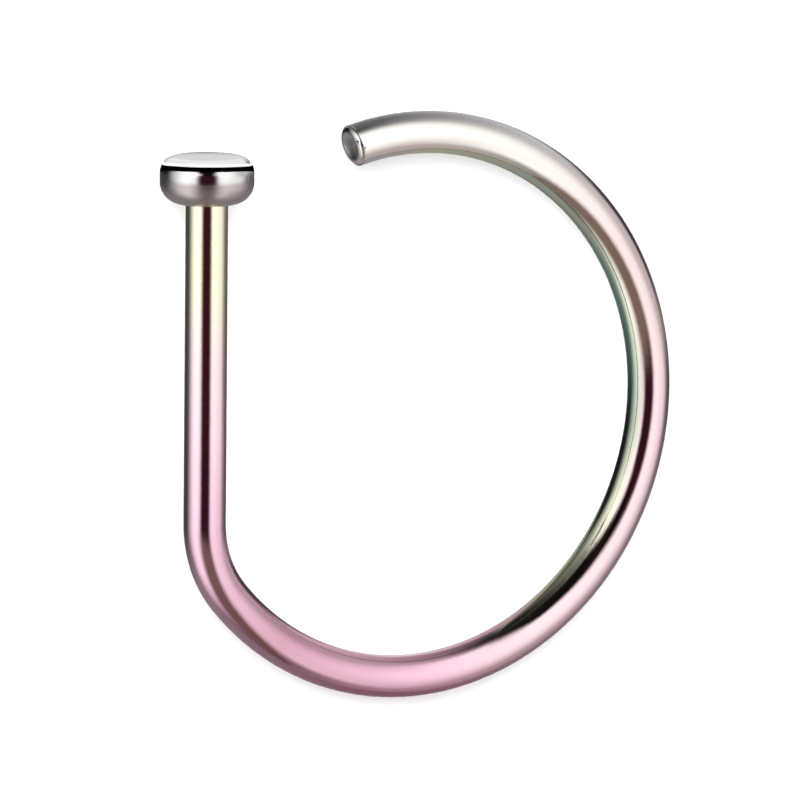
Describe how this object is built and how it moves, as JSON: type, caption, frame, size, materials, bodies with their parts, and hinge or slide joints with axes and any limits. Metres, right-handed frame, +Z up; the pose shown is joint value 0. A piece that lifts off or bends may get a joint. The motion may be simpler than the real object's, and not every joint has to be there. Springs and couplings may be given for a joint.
{
  "type": "nose ring",
  "caption": "Open D-shaped nose hoop of round coated wire: a straight post capped by a flat-topped disc, a tight bend, and a plain cut end that faces the disc across the mouth.",
  "frame": {"origin": "on the surface the hoop lies on, under the middle of its bounding box", "axes": "+Z up, out of the hoop's upper side, which leans 2.4 degrees because the disc is wider than the wire; +Y along the straight post towards the disc; +X from the post across to the round of the hoop"},
  "size_m": [0.011, 0.0112, 0.0018],
  "materials": {
    "coated_steel": "mirror-polished steel with a thin coat that runs from pale straw at the top of the post through rose at the bend to grey-green inside the hoop and silver at the open end",
    "polished_steel": "mirror-polished bare steel"
  },
  "bodies": {
    "root": {"hoop_wire": "coated_steel", "disc_head": "polished_steel"}
  },
  "joints": []
}
